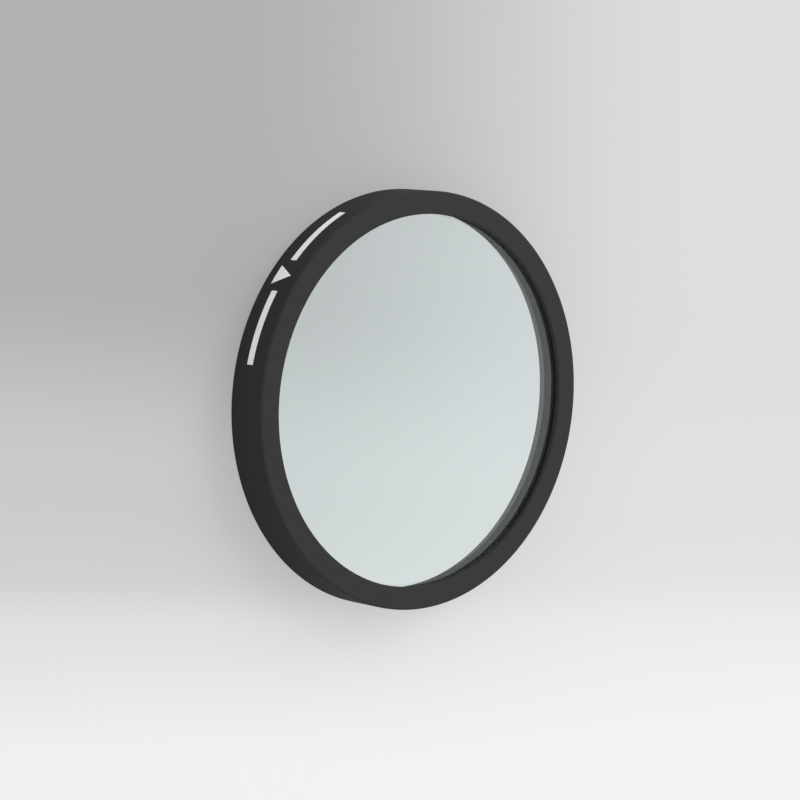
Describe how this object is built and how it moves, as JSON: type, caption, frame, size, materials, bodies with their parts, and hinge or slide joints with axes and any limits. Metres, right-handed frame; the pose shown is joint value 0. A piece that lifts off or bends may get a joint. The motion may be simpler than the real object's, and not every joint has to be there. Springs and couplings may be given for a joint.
{
  "type": "mounted astronomy filter",
  "caption": "Round clear glass filter in a thin plain-rimmed black anodised aluminium cell, with the glass clamped against a front lip by a threaded ring.",
  "frame": {"origin": "centre of the back face, on the optical axis", "axes": "+Z along the optical axis, out of the front face; the spanner slots lie about 5 degrees off the Y axis"},
  "size_m": [0.05, 0.05, 0.0056],
  "materials": {
    "cell_anodised": "satin black anodised",
    "coated_glass": "polished and coated",
    "ring_anodised": "matt black anodised"
  },
  "bodies": {
    "root": {"filter_cell": "cell_anodised", "filter_glass": "coated_glass", "retaining_ring": "ring_anodised"}
  },
  "joints": []
}
